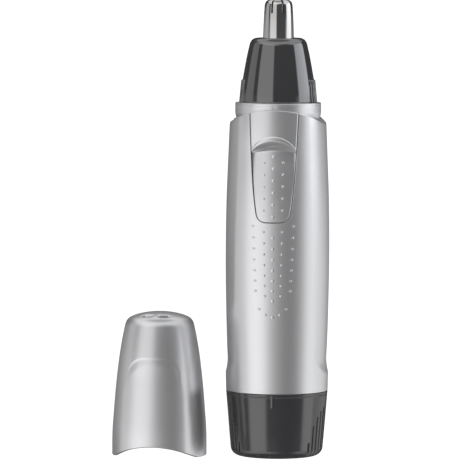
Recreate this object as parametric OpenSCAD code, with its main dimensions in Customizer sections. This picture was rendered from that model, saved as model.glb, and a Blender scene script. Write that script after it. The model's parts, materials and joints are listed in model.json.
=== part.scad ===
// Cordless nose hair trimmer with its protective cap standing beside it.
// Millimetres, +Z up. The origin is the centre of the flat base of the
// battery cap, -Y is the front (switch side).

/* [Body] */
// Height of the seam between battery cap and body shell
seam_z = 19.4; // [18.8:0.1:20]
// Greatest half width of the body, across the two side facets
body_half_w = 15.3; // [15.1:0.05:15.8]
// Greatest radius of the body, front and back
body_front_r = 16.2; // [16:0.05:16.6]
// Distance that each side facet's own axis lies past the centre line
facet_offset = 3.9; // [3.4:0.1:4.4]
// Bore of the body shell
bore_r = 12.5; // [12.4:0.05:12.6]
// Top of the arch where the shell meets the collar, front and back
arch_z = 102.6; // [102.2:0.1:103]
// Radius of that arch seen from the front
arch_r = 31; // [28:0.1:34]

/* [Collar] */
// Outer radius of the neck collar
collar_r = 12.68; // [12.6:0.02:12.72]
// Top of the neck collar
collar_top = 104.6; // [104.4:0.05:104.6]

/* [Switch] */
// Travel of the switch from off to on
switch_travel = 2.2; // [1.5:0.1:2.2]
// Gap between the switch button and its pocket
switch_gap = 0.2; // [0.15:0.01:0.3]
// Height that the button stands above the body
button_proud = 0.3; // [0.15:0.05:0.4]
// Lowest point of the button
button_z0 = 70; // [69:0.5:71]

/* [Battery cap] */
// Radius of the flat face the trimmer stands on
base_flat_r = 10.9; // [10:0.1:11.2]
// Number of grip grooves on each side of the battery cap
groove_count = 13; // [5:2:15]
// Angle between neighbouring grip grooves
groove_pitch = 7; // [6:0.5:7]
// Turn of the bayonets from locked to free
bayonet_turn = 40; // [30:1:45]

/* [Battery] */
// Radius of the AA cell
cell_r = 7.25; // [7.1:0.05:7.25]
// Length of the AA cell with its terminal
cell_l = 50.5; // [50:0.1:50.5]

/* [Motor] */
// Radius of the round sides of the motor can
motor_r = 10.2; // [10:0.05:10.2]
// Half of the distance between the motor can's two flats
motor_flat = 7.55; // [7.4:0.05:7.55]
// Radius of the motor and cutter shafts
shaft_r = 1; // [0.9:0.05:1]

/* [Head] */
// Outer radius of the steel tip just above the housing
tip_r = 4.55; // [4.4:0.05:4.55]
// Top of the steel tip, the overall height
tip_top = 135; // [134.6:0.1:135.4]
// Number of cutting slots in the tip
slot_count = 8; // [6:2:10]
// Width of one cutting slot
slot_w = 0.6; // [0.4:0.05:0.8]
// Depth of the cutting slots from the top
slot_depth = 4.1; // [3:0.1:5]
// Number of grip ribs on each side of the head
rib_count = 7; // [3:2:9]

/* [Protective cap] */
// Height of the protective cap
cap_h = 42.6; // [42:0.1:44]
// Place of the standing cap to the left of the trimmer
cap_x = -34.6; // [-50:0.1:-32]
// Place of the standing cap towards the front
cap_y = -3.3; // [-10:0.1:10]
// Turn of the standing cap about its own axis
cap_turn = -4; // [-20:1:20]
// Wall of the protective cap
cap_wall = 1.2; // [1.1:0.05:1.3]

/* [Hidden] */
$fn = 96;
e = 0.01;
silver = [0.76, 0.76, 0.78];
dark = [0.16, 0.16, 0.17];

// A smooth curve through stations [height, radius], by cubic pieces whose
// slope at each station is that between its two neighbours.
function slope(p, i) =
    let (a = max(i - 1, 0), b = min(i + 1, len(p) - 1))
    (p[b][1] - p[a][1]) / (p[b][0] - p[a][0]);
function piece(p, i, t) =
    let (h = p[i + 1][0] - p[i][0], t2 = t * t, t3 = t2 * t)
    (2 * t3 - 3 * t2 + 1) * p[i][1] + (t3 - 2 * t2 + t) * h * slope(p, i)
    + (3 * t2 - 2 * t3) * p[i + 1][1] + (t3 - t2) * h * slope(p, i + 1);
function curve(p, n = 3) = concat(
    [for (i = [0:len(p) - 2], k = [0:n - 1])
        let (t = k / n) [piece(p, i, t), p[i][0] + t * (p[i + 1][0] - p[i][0])]],
    [[p[len(p) - 1][1], p[len(p) - 1][0]]]);
function grow(p, d) = [for (q = p) [q[0], q[1] + d]];

// Front and back radius of the body, bottom to top.
front_line = [[seam_z, 15.05], [24, 15.15], [30, 15.35], [36, 15.6], [42, 15.85],
    [49, body_front_r - 0.13], [57, body_front_r], [72, body_front_r - 0.02], [80, 16.02],
    [90, 15.6], [95, 15.42], [98, 15.25], [101, 15], [103, 14.8]];
// Half width across the side facets; the facets run out at the bottom.
side_line = [[seam_z - 1, 16.8], [22, 16], [24.4, 15.3], [26, 14.88],
    [28.5, 14.6], [33, 14.78], [42, 15.05], [57, body_half_w],
    [75, body_half_w - 0.15], [90, 14.6], [97.4, 14.3], [99.5, 14.15], [104, 13.7]];
// Underside of the thumb panel on the button, from its foot to the lip.
panel_line = [[68, 16.3], [72, 16.26], [78, 15.92], [84, 15.15], [90, 14.15],
    [95, 13.85]];
// Outer radius of the battery cap above its rounded foot.
battery_cap_line = [[2.7, 13.65], [7, 14.04], [13, 14.52], [seam_z - 0.1, 15.04]];
// Outer radius of the head housing.
head_line = [[104.7, 11.24], [108, 11], [111, 10.56], [114, 10.06],
    [118, 9.32], [121.5, 8.55]];
// Outer radius of the steel tip.
tip_line = [[120.9, tip_r + 0.03], [123.6, tip_r], [129, tip_r - 0.18],
    [132.4, tip_r - 0.38]];
// Outer radius of the protective cap above its rim.
cap_line = [[0, 14], [7, 13.93], [14, 13.45], [21, 12.87], [29, 11.95],
    [35, 10.98], [cap_h - 4.3, 10.3]];

module revolve(pts) rotate_extrude() polygon(pts);
module solid_of(line, n = 3) revolve(concat([[0, line[0][0]]], curve(line, n),
    [[0, line[len(line) - 1][0]]]));
module disc(r, z0, z1) translate([0, 0, z0]) cylinder(r = r, h = z1 - z0);
module ring(ro, ri, z0, z1) difference() {
    disc(ro, z0, z1);
    disc(ri, z0 - 1, z1 + 1);
}
module block(x0, x1, y0, y1, z0, z1)
    translate([x0, y0, z0]) cube([x1 - x0, y1 - y0, z1 - z0]);
// Wedge between two angles counted from +X, for cutting rings into sectors.
module wedge(a0, a1, z0, z1, r = 40) translate([0, 0, z0])
    linear_extrude(z1 - z0) polygon(concat([[0, 0]],
        [for (k = [0:4]) let (a = a0 + (a1 - a0) * k / 4) [r * cos(a), r * sin(a)]]));
module sector(ro, ri, a0, a1, z0, z1) intersection() {
    ring(ro, ri, z0, z1);
    wedge(a0, a1, z0 - 1, z1 + 1);
}
// Long cylinder along Y below which the arch over the front is kept.
module under_arch(lift = 0) {
    translate([0, 40, arch_z + lift - arch_r]) rotate([90, 0, 0])
        cylinder(r = arch_r, h = 80);
}
// Tube of wire along a helix whose radius runs from r0 to r1.
module coil(r0, r1, z0, z1, wire, turns, per = 12, sides = 6) {
    n = turns * per;
    pts = [for (i = [0:n]) let (t = i / n, a = 360 * turns * t,
            r = r0 + (r1 - r0) * t, z = z0 + (z1 - z0) * t)
        for (k = [0:sides - 1]) let (b = 360 * k / sides, q = r + wire * cos(b))
            [q * cos(a), q * sin(a), z + wire * sin(b)]];
    polyhedron(points = pts, faces = concat(
        [[for (k = [0:sides - 1]) k]],
        [[for (k = [0:sides - 1]) n * sides + sides - 1 - k]],
        [for (i = [0:n - 1], k = [0:sides - 1]) let (a = i * sides + k,
                b = i * sides + (k + 1) % sides)
            [b, a, a + sides, b + sides]]), convexity = 8);
}

// Outer form of the body: a round form trimmed by two flatter side facets.
module body_form() intersection() {
    solid_of(front_line);
    for_side(1);
    for_side(-1);
    union() {
        under_arch();
        block(-20, 20, -20, 20, 0, 90);
    }
}
module for_side(s) translate([-s * facet_offset, 0, 0]) revolve(concat(
    [[0, seam_z - 1]], [for (q = curve(side_line)) [q[0] + facet_offset, q[1]]],
    [[0, 104]]));

// Outline of the switch button seen from the front, grown by g.
function button_outline(g, top) = concat(
    [[-7.2 - g, top], [-6.62 - g, 92], [-6.05 - g, 82.5], [-5.42 - g, 76]],
    [for (a = [180:15:270]) [-2.2 + (2.75 + g) * cos(a), button_z0 + 2.75 + (2.75 + g) * sin(a)]],
    [for (a = [270:15:360]) [2.2 + (2.75 + g) * cos(a), button_z0 + 2.75 + (2.75 + g) * sin(a)]],
    [[5.42 + g, 76], [6.05 + g, 82.5], [6.62 + g, 92], [7.2 + g, top]]);
module button_prism(g, top) rotate([90, 0, 0]) translate([0, 0, 5])
    linear_extrude(15) polygon(button_outline(g, top));

module body_shell() color(silver) difference() {
    body_form();
    disc(bore_r, seam_z - 1, 97);
    disc(collar_r + 0.04, 96.9, 110);
    // pocket for the button: it keeps a floor below the collar
    difference() {
        button_prism(switch_gap, 106);
        disc(13.15, 60, 96.9);
    }
    // slot for the slider's stem
    block(-1.8, 1.8, -16, -11, 79.6, 90.6);
}
module shell_lugs() color(silver)
    for (a = [0, 180]) sector(bore_r + 0.3, 11.45, a - 5, a + 5, 23, 24.6);
module body_shell_whole() color(silver) union() {
    body_shell();
    shell_lugs();
}

module neck_collar() color(silver) difference() {
    union() {
        revolve([[0, 92.5], [12.4, 92.5], [12.4, 99.9], [collar_r, 101.2],
            [collar_r, collar_top - 0.35], [collar_r - 0.3, collar_top], [0, collar_top]]);
        // alignment mark
        block(-0.3, 0.3, -collar_r - 0.1, -12, arch_z - 0.1, collar_top - 0.9);
    }
    disc(11, 98.5, 106);
    disc(11, 90, 96);
    disc(5.22, 96.7, 99);
    disc(3.4, 95, 97);
}
module neck_collar_whole() color(silver) union() {
    neck_collar();
    for (a = [0, 180]) sector(11.2, 10.2, a - 5, a + 5, 100.4, 101.6);
}

module inner_chassis() color([0.86, 0.86, 0.84]) difference() {
    union() {
        disc(8.9, 22, 61);
        for (z = [28, 44]) disc(12.4, z, z + 1.5);
        disc(12.4, 59.5, 61.5);
        intersection() {
            disc(11.4, 61, 88);
            block(-12, 12, -8.9, 8.9, 61, 88);
        }
        disc(12.3, 88, 90);
        block(-1.2, 1.2, -9.6, -8, 30, 78);
        block(5.2, 6.2, -9.6, -8, 70, 80);
        // rear spine joins the flanges
        block(-1, 1, 8, 12, 28, 88);
    }
    disc(7.55, 21, 59.4);
    intersection() {
        disc(motor_r + 0.12, 61.9, 87.05);
        block(-12, 12, -motor_flat - 0.12, motor_flat + 0.12, 61.9, 87.05);
    }
    disc(3.12, 80, 91);
    // way for the contact strip, the slider and the terminals
    for (z = [28, 44, 59.5]) block(-1.8, 1.8, -13, -9.6, z - 1, z + 3);
    block(-6.8, 6.8, -13, -9.4, 87, 91);
    for (s = [-1, 1]) block(s * 5.5 - 1.4, s * 5.5 + 1.4, -13, -6, 61.6, 65.2);
    block(-6.5, -4.5, -13, -1, 58.7, 59.5);
    block(-6.5, -1.5, -3.4, -1, 58.7, 59.5);
    block(-6.5, -4.5, -10.3, -9.3, 58.7, 66);
    // windows that lighten the battery tube
    for (s = [-1, 1]) block(s * 8 - 2.5, s * 8 + 2.5, -3, 3, 33, 41);
    for (s = [-1, 1]) block(s * 8 - 2.5, s * 8 + 2.5, -3, 3, 48, 56);
}

module switch_button() color(silver) difference() {
    intersection() {
        button_prism(0, 106);
        union() {
            solid_of(grow(panel_line, 0.12));
            difference() {
                solid_of(grow(front_line, button_proud));
                // the lip above the thumb panel is an arch
                rotate([90, 0, 0]) translate([0, 0, 5]) linear_extrude(20) union() {
                    translate([0, 80.4]) circle(r = 11.5);
                    translate([-12, 60]) square([24, 20.4]);
                }
            }
        }
        union() {
            under_arch(0.15);
            block(-20, 20, -20, 20, 0, 90);
        }
    }
    disc(13.25, 60, 97.1);
    disc(12.84, 97, 110);
}
module switch_slider() color([0.9, 0.9, 0.88]) difference() {
    union() {
        block(-4, 4, -11.2, -10.55, 76, 89.5);
        intersection() {
            block(-1.5, 1.5, -14, -11.1, 80, 88);
            disc(13.22, 79, 89);
        }
    }
    for (z = [79.8, 82]) translate([-4, -12, z]) rotate([-90, 0, 0])
        cylinder(r = 0.35, h = 3);
}

module switch_contact() color([0.8, 0.62, 0.3]) union() {
    block(-1.4, 1.4, -10.5, -10.3, 76.6, 83.4);
    for (z = [77.6, 81.2]) translate([-1.2, -10.32, z]) rotate([0, 90, 0])
        cylinder(r = 0.22, h = 2.4);
}

module switch_detent_spring() color([0.72, 0.73, 0.75]) union() {
    translate([0, -10.55, 0]) rotate([90, 0, 0]) linear_extrude(0.5)
        polygon([[-5.7, 72.5], [-5.4, 72.5], [-5.4, 80.6], [-4.1, 81.9], [-4.1, 82.2],
            [-5.4, 83.6], [-5.4, 87], [-5.7, 87], [-5.7, 83.45], [-4.45, 82.05], [-5.7, 80.8]]);
    block(-5.7, -5.4, -11.05, -8.95, 72.5, 75);
}

module switch_seal() color([0.2, 0.2, 0.2]) difference() {
    sector(12.45, 12, 270 - 22, 270 + 22, 77.2, 92.2);
    block(-1.8, 1.8, -16, -11, 79.6, 90.6);
}

module motor_profile(d, z0, z1) intersection() {
    disc(motor_r - d, z0, z1);
    block(-12, 12, -motor_flat + d, motor_flat - d, z0, z1);
}
module motor_can() color([0.75, 0.75, 0.76]) difference() {
    union() {
        motor_profile(0, 64.6, 87);
        disc(3, 86, 88.5);
    }
    motor_profile(0.7, 64, 86.3);
    disc(shaft_r + 0.05, 60, 90);
}
module motor_end_cap() color([0.85, 0.84, 0.78]) difference() {
    union() {
        motor_profile(0.05, 62, 64.55);
        motor_profile(0.78, 64.5, 65.5);
    }
    disc(3.2, 64, 66);
    disc(shaft_r + 0.05, 62.3, 67);
    for (s = [-1, 1]) block(s * 5.5 - 1.05, s * 5.5 + 1.05, -8, -5, 62.75, 63.35);
}
module motor_magnets() color([0.25, 0.25, 0.27]) intersection() {
    union() for (a = [0, 180]) sector(9.45, 7.15, a - 42, a + 42, 68, 82);
    block(-12, 12, -6.8, 6.8, 60, 90);
}
module motor_armature() color([0.6, 0.42, 0.25]) difference() {
    union() {
        disc(6.8, 69, 81);
        disc(2.3, 66, 69.5);
    }
    for (a = [90, 210, 330]) rotate([0, 0, a]) {
        block(5.4, 8, -0.5, 0.5, 68.5, 81.5);
        translate([4.4, 0, 68.5]) cylinder(r = 1.4, h = 13);
    }
    disc(shaft_r, 60, 90);
}
module motor_shaft() color([0.8, 0.8, 0.82]) disc(shaft_r, 62.4, 98.2);
module motor_terminals() color([0.8, 0.62, 0.3])
    for (s = [-1, 1]) block(s * 5.5 - 1, s * 5.5 + 1, -9.55, -5.1, 62.8, 63.3);
module drive_coupling() color([0.92, 0.92, 0.9]) difference() {
    union() {
        disc(2.6, 93, 103.2);
        disc(3.1, 93, 94.2);
    }
    disc(shaft_r, 92, 98.25);
    block(-1.5, 1.5, -0.55, 0.55, 98.9, 104);
}
module shaft_seal() color([0.18, 0.18, 0.18]) difference() {
    disc(5.2, 96.75, 98.5);
    disc(2.65, 96, 99);
    ring(4.4, 3.1, 97.6, 99);
}

module positive_contact() color([0.8, 0.8, 0.8]) union() {
    disc(4.2, 59.05, 59.35);
    block(-6.2, -2, -3, -1.4, 59.05, 59.35);
    block(-6.2, -4.8, -10, -1.4, 59.05, 59.35);
    block(-6.2, -4.8, -10, -9.6, 59.05, 64.2);
}
module negative_contact_strip() color([0.8, 0.62, 0.3]) block(-1.5, 1.5, -10, -9.6, 23, 79);
module motor_contact_strip() color([0.8, 0.62, 0.3]) union() {
    block(-1.5, 6.5, -10, -9.6, 81.5, 83);
    block(-1.5, 1.5, -10, -9.6, 81.5, 86);
    block(4.9, 6.5, -10, -9.6, 62.4, 83);
}
module battery_cell() color([0.72, 0.55, 0.3]) union() {
    disc(cell_r, 8.5, 8.5 + cell_l - 1);
    disc(2.7, 8.5 + cell_l - 1.1, 8.5 + cell_l);
}

// Height of the top of grip groove number k, an arch over each side.
function groove_top(k) = let (u = (k - (groove_count - 1) / 2) * groove_pitch / 44)
    15.6 * sqrt(1 - u * u);
module battery_cap() color(dark) difference() {
    revolve(concat([[0, 0], [base_flat_r, 0]],
        [for (a = [15:15:75]) [base_flat_r + (13.65 - base_flat_r) * sin(a), 2.7 - 2.7 * cos(a)]],
        curve(battery_cap_line),
        [[12.35, seam_z - 0.1], [12.35, 25.7], [12.05, 26], [10.9, 26], [10.9, 15],
         [12.3, 12], [11.8, 4.6], [11, 2.6], [0, 2.6]]));
    // grip grooves run up each side
    for (s = [-1, 1], k = [0:groove_count - 1])
        rotate([0, 0, s * (k - (groove_count - 1) / 2) * groove_pitch + (s > 0 ? 0 : 180)])
            translate([13.5, 0, 0.6]) rotate([0, 4.7, 0])
                cylinder(r = 0.42, h = groove_top(k) - 0.6, $fn = 24);
    // groove for the sealing ring
    ring(13, 11.4, 20.2, 21.3);
    // bayonet slots: entry from above, then the locking run
    for (a = [0, 180]) {
        sector(13, 11.35, a - 6, a + bayonet_turn + 6, 22.8, 24.8);
        sector(13, 11.35, a + bayonet_turn - 6.5, a + bayonet_turn + 6.5, 22.8, 27);
    }
}
module battery_cap_whole() color(dark) union() {
    battery_cap();
    // raised alignment mark
    intersection() {
        solid_of(grow(battery_cap_line, 0.22));
        block(-0.35, 0.35, -16, -13.6, 15.3, 19);
    }
}
module battery_cap_o_ring() color([0.1, 0.1, 0.1]) rotate_extrude()
    translate([11.95, 20.75]) circle(r = 0.5, $fn = 32);
module battery_spring() color([0.8, 0.8, 0.82]) coil(5.2, 3.4, 3.3, 8.08, 0.35, 4.5);
module battery_contact_plate() color([0.8, 0.8, 0.8]) union() {
    disc(7.7, 2.62, 2.92);
    block(-1.8, 1.8, -10.55, 0, 2.62, 2.92);
    block(-1.8, 1.8, -10.55, -10.2, 2.62, 25.5);
}

module head_housing() color(dark) difference() {
    union() {
        revolve(concat([[0, 99.2], [10.85, 99.2], [10.85, 104.7]], curve(head_line),
            [[8.25, 122.4], [7.8, 123.05], [7.2, 123.45], [6.7, 123.6], [0, 123.6]]));
        // grip ribs low on both sides
        for (s = [0, 180], k = [0:rib_count - 1])
            rotate([0, 0, s + (k - (rib_count - 1) / 2) * 8])
                translate([11.05, 0, 104.72]) rotate([0, -5.2, 0])
                    cylinder(r = 0.5, h = 6.6, $fn = 24);
    }
    revolve([[0, 98], [9.6, 98], [9.6, 106], [9.1, 111], [8.2, 116], [7.45, 120],
        [7.3, 121.3], [0, 121.3]]);
    disc(tip_r + 0.1, 120, 125);
    ring(13, 10.0, 103.15, 104.25);
    for (a = [0, 180]) {
        sector(13, 10.1, a - bayonet_turn - 6, a + 6, 100.2, 101.8);
        sector(13, 10.1, a - bayonet_turn - 6.5, a - bayonet_turn + 6.5, 98, 101.8);
    }
}
module head_o_ring() color([0.1, 0.1, 0.1]) rotate_extrude()
    translate([10.5, 103.7]) circle(r = 0.42, $fn = 32);
module head_foil() color([0.85, 0.85, 0.87]) difference() {
    union() {
        revolve(concat([[0, 120.9]], curve(tip_line),
            [[4.08, 133.3], [3.85, 134], [3.45, 134.5], [2.8, 134.85], [2.1, tip_top], [0, tip_top]]));
        disc(6, 120.9, 121.27);
    }
    revolve(concat([[0, 120]], [[tip_r - 0.37, 120]], curve(grow(tip_line, -0.4)),
        [[3.68, 133.2], [3.5, 133.75], [3.2, 134.15], [2.6, 134.45], [2, tip_top - 0.4], [0, tip_top - 0.4]]));
    for (k = [0:slot_count - 1]) rotate([0, 0, (k + 0.5) * 360 / slot_count])
        block(1.4, 6, -slot_w / 2, slot_w / 2, tip_top - slot_depth, tip_top + 1);
}
module foil_retainer() color([0.85, 0.85, 0.83]) difference() {
    ring(7.2, 3.53, 118.9, 120.85);
    for (a = [0:90:270]) rotate([0, 0, a]) block(5.6, 9, -1.2, 1.2, 118, 120);
}
module cutter_bush() color([0.75, 0.6, 0.35]) difference() {
    union() {
        disc(3.5, 117.9, 120.85);
        disc(4.6, 117.6, 118.8);
    }
    disc(shaft_r + 0.05, 116, 122);
}
module cutter_shaft() color([0.8, 0.8, 0.82]) union() {
    disc(shaft_r, 104, 133.4);
    intersection() {
        disc(1.3, 99.8, 104.6);
        block(-1.3, 1.3, -0.45, 0.45, 99.8, 104.6);
    }
    disc(3.3, 115.85, 116.6);
}
module cutter_blade() color([0.7, 0.71, 0.73]) difference() {
    union() {
        disc(1.7, 121.6, 133.8);
        intersection() {
            union() for (a = [0, 90]) rotate([0, 0, a]) block(-5, 5, -0.3, 0.3, 123.5, 134.5);
            revolve(concat([[0, 123.5], [3.2, 123.5], [3.6, 126], [tip_r - 0.74, 128.5], [3.62, 132.4]],
                [[3.54, 133.2], [3.35, 133.7], [3.0, 134.05], [2.4, 134.33], [0, 134.4]]));
        }
    }
    disc(shaft_r, 120, 133.4);
}
module cutter_spring() color([0.8, 0.8, 0.82]) coil(2.9, 2.9, 105.1, 115.55, 0.22, 7);
module head_base_plate() color([0.3, 0.3, 0.31]) difference() {
    disc(9.55, 103.4, 104.85);
    disc(2.1, 103, 106);
    for (a = [45:90:315]) rotate([0, 0, a]) translate([6.2, 0, 102]) cylinder(r = 1.6, h = 4);
}

// The protective cap in its own frame, rim at z = 0.
module cap_form(d) {
    revolve(concat([[0, 0]], [for (q = curve(cap_line)) [q[0] - d, q[1]]],
        [[10.08 - d, cap_h - 3.45], [9.75 - d, cap_h - 2.75], [9.3 - d, cap_h - 2.2 - d * 0.2],
         [8.6 - d, cap_h - 1.7 - d * 0.4], [7.2 - d, cap_h - 1.1 - d * 0.7],
         [5.2 - d * 0.6, cap_h - 0.55 - d], [2.8 - d * 0.3, cap_h - 0.15 - d], [0, cap_h - d]]));
}
module protective_cap_local() difference() {
    intersection() {
        cap_form(0);
        // flatter tongue panel, front and back
        for_panel(1);
        for_panel(-1);
    }
    translate([0, 0, -e]) intersection() {
        cap_form(cap_wall);
        disc(12.8, -1, 60);
    }
    // rim arched up, front and back
    translate([0, 30, 3.4 - 25.8]) rotate([90, 0, 0]) cylinder(r = 25.8, h = 60);
    // air vents in the shoulder of the dome
    for (f = [0, 180], s = [-1, 1]) rotate([0, 0, f + s * 22.6]) translate([0, -6.7, 30]) {
        for (t = [-1, 1]) translate([t * 0.95, 0, 0]) cylinder(r = 0.95, h = 20);
        block(-0.95, 0.95, -0.95, 0.95, 0, 20);
    }
}
module for_panel(s) translate([0, s * 1.94, 0]) revolve(concat([[0, 0]],
    [for (q = curve([[0, 13.5], [7, 13.45], [14, 12.98], [21, 12.43], [25, 12.2], [29, 12.1], [36, 12.1]]))
        [q[0] + 1.94, q[1]]], [[14.2, 60], [0, 60]]));
module protective_cap() color(silver) translate([cap_x, cap_y, 0])
    rotate([0, 0, cap_turn]) protective_cap_local();

body_shell_whole();  // body_shell
neck_collar_whole();  // neck_collar
inner_chassis();
switch_button();
switch_slider();
switch_contact();
switch_detent_spring();
switch_seal();
motor_can();
motor_end_cap();
motor_magnets();
motor_armature();
motor_shaft();
motor_terminals();
drive_coupling();
shaft_seal();
positive_contact();
negative_contact_strip();
motor_contact_strip();
battery_cell();
battery_cap_whole();  // battery_cap
battery_cap_o_ring();
battery_spring();
battery_contact_plate();
head_housing();
head_foil();
foil_retainer();
cutter_blade();
cutter_shaft();
cutter_bush();
cutter_spring();
head_base_plate();
head_o_ring();
protective_cap();
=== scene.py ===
import json
import math
import bmesh
import bpy
import numpy as np
from mathutils import Matrix, Vector


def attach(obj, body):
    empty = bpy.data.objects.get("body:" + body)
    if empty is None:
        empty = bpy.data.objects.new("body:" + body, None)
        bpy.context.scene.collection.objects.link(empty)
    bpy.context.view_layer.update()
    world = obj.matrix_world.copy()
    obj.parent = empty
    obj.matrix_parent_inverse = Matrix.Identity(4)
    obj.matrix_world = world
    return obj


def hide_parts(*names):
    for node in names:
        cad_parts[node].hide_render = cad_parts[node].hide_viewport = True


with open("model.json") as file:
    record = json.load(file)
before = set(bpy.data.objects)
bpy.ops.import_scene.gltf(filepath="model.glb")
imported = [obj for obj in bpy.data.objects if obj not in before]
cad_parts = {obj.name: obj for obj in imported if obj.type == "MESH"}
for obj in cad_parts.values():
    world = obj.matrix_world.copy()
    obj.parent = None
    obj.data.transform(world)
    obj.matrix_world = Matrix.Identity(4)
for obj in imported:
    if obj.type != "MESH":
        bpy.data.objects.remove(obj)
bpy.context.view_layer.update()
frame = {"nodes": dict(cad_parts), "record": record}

MM = 0.001
nodes = frame["nodes"]

# ---------------------------------------------------------------- materials

def node_tree(name):
    m = bpy.data.materials.new(name)
    m.use_nodes = True
    nt = m.node_tree
    nt.nodes.clear()
    out = nt.nodes.new("ShaderNodeOutputMaterial")
    bsdf = nt.nodes.new("ShaderNodeBsdfPrincipled")
    nt.links.new(bsdf.outputs[0], out.inputs[0])
    return m, nt, bsdf


def add(nt, kind, **inputs):
    n = nt.nodes.new(kind)
    for k, v in inputs.items():
        if k.startswith("_"):
            setattr(n, k[1:], v)
        else:
            n.inputs[k.replace("__", " ")].default_value = v
    return n


def math_node(nt, op, a, b=None, c=None, clamp=False):
    n = nt.nodes.new("ShaderNodeMath")
    n.operation = op
    n.use_clamp = clamp
    for i, v in enumerate((a, b, c)):
        if v is None:
            continue
        if isinstance(v, (int, float)):
            n.inputs[i].default_value = v
        else:
            nt.links.new(v, n.inputs[i])
    return n.outputs[0]


def colour_mix(nt, fac, a, b):
    n = nt.nodes.new("ShaderNodeMix")
    n.data_type = "RGBA"
    fs = [s for s in n.inputs if s.type == "VALUE" and s.enabled][0]
    cs = [s for s in n.inputs if s.type == "RGBA"]
    for sock, v in ((fs, fac), (cs[0], a), (cs[1], b)):
        if isinstance(v, bpy.types.NodeSocket):
            nt.links.new(v, sock)
        elif isinstance(v, (int, float)):
            sock.default_value = v
        else:
            sock.default_value = (*v, 1.0)
    return [s for s in n.outputs if s.type == "RGBA"][0]


def surface(name, base, metallic=0.0, rough=0.4, spec=0.5, coat=0.0, coat_rough=0.1,
            grain=9000.0, grain_bump=0.000002, mottle=0.03, mottle_scale=60.0,
            rough_var=0.05, wear=0.0, wear_colour=(0.9, 0.9, 0.9), scratches=0.0,
            brushed=None, ior=1.5):
    """A finished surface: fine grain in the bump, slow changes of colour and
    roughness, faint scratches, and edges worn a little lighter or shinier."""
    m, nt, bsdf = node_tree(name)
    L = nt.links
    tc = nt.nodes.new("ShaderNodeTexCoord")
    mp = nt.nodes.new("ShaderNodeMapping")
    L.new(tc.outputs["Object"], mp.inputs["Vector"])
    if brushed:
        mp.inputs["Scale"].default_value = brushed
    fine = add(nt, "ShaderNodeTexNoise", Scale=grain, Detail=3.0, Roughness=0.6)
    L.new(mp.outputs[0], fine.inputs["Vector"])
    slow = add(nt, "ShaderNodeTexNoise", Scale=mottle_scale, Detail=4.0, Roughness=0.55)
    L.new(tc.outputs["Object"], slow.inputs["Vector"])
    mid = add(nt, "ShaderNodeTexNoise", Scale=mottle_scale * 9.0, Detail=3.0, Roughness=0.6)
    L.new(tc.outputs["Object"], mid.inputs["Vector"])
    dark = tuple(max(0.0, c * (1 - mottle)) for c in base)
    light = tuple(min(1.0, c * (1 + mottle)) for c in base)
    col = colour_mix(nt, slow.outputs[0], dark, light)
    geo = nt.nodes.new("ShaderNodeNewGeometry")
    if wear:
        edge = math_node(nt, "SUBTRACT", geo.outputs["Pointiness"], 0.52)
        edge = math_node(nt, "MULTIPLY", edge, 9.0, clamp=True)
        patch = math_node(nt, "MULTIPLY", mid.outputs[0], edge)
        fac = math_node(nt, "MULTIPLY", patch, wear, clamp=True)
        col = colour_mix(nt, fac, col, wear_colour)
    L.new(col, bsdf.inputs["Base Color"])
    bsdf.inputs["Metallic"].default_value = metallic
    bsdf.inputs["IOR"].default_value = ior
    bsdf.inputs["Specular IOR Level"].default_value = spec
    bsdf.inputs["Coat Weight"].default_value = coat
    bsdf.inputs["Coat Roughness"].default_value = coat_rough
    r = math_node(nt, "SUBTRACT", slow.outputs[0], 0.5)
    r = math_node(nt, "MULTIPLY_ADD", r, rough_var * 2, rough)
    r2 = math_node(nt, "SUBTRACT", mid.outputs[0], 0.5)
    r = math_node(nt, "MULTIPLY_ADD", r2, rough_var, r)
    height = fine.outputs[0]
    if scratches:
        sc = nt.nodes.new("ShaderNodeMapping")
        sc.inputs["Scale"].default_value = (1.0, 1.0, 0.03)
        sc.inputs["Rotation"].default_value = (0.35, 0.2, 0.0)
        L.new(tc.outputs["Object"], sc.inputs["Vector"])
        sn = add(nt, "ShaderNodeTexNoise", Scale=2600.0, Detail=2.0)
        L.new(sc.outputs[0], sn.inputs["Vector"])
        s = math_node(nt, "SUBTRACT", sn.outputs[0], 0.66)
        s = math_node(nt, "MULTIPLY", s, 8.0, clamp=True)
        r = math_node(nt, "MULTIPLY_ADD", s, scratches, r)
    r = math_node(nt, "MAXIMUM", r, 0.02)
    L.new(r, bsdf.inputs["Roughness"])
    bump = nt.nodes.new("ShaderNodeBump")
    bump.inputs["Strength"].default_value = 1.0
    bump.inputs["Distance"].default_value = grain_bump
    L.new(height, bump.inputs["Height"])
    L.new(bump.outputs[0], bsdf.inputs["Normal"])
    return m


SILVER = surface("silver_paint", (0.885, 0.885, 0.90), metallic=0.93, rough=0.35, spec=0.5,
                 grain=14000.0, grain_bump=0.0000016, mottle=0.012, mottle_scale=45.0,
                 rough_var=0.02, wear=0.25, wear_colour=(0.9, 0.9, 0.91), scratches=0.04)
HEAD = surface("head_gloss", (0.024, 0.024, 0.026), rough=0.06, ior=2.8, grain=5200.0,
               grain_bump=0.0000012, mottle=0.12, rough_var=0.02, wear=0.3,
               wear_colour=(0.11, 0.11, 0.115), scratches=0.1)
DARK = surface("cap_dark", (0.022, 0.022, 0.024), rough=0.15, ior=2.0, grain=9000.0,
               grain_bump=0.000003, mottle=0.12, rough_var=0.03, wear=0.5,
               wear_colour=(0.12, 0.12, 0.125), scratches=0.1)
CHROME = surface("tip_chrome", (0.80, 0.79, 0.785), metallic=1.0, rough=0.055, grain=4000.0,
                 grain_bump=0.0000004, mottle=0.015, rough_var=0.015, scratches=0.12)
BLADE = surface("blade_steel", (0.5, 0.5, 0.51), metallic=1.0, rough=0.26, grain=3500.0,
                grain_bump=0.000002, brushed=(1, 1, 0.06), scratches=0.2, wear=0.3)
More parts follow.
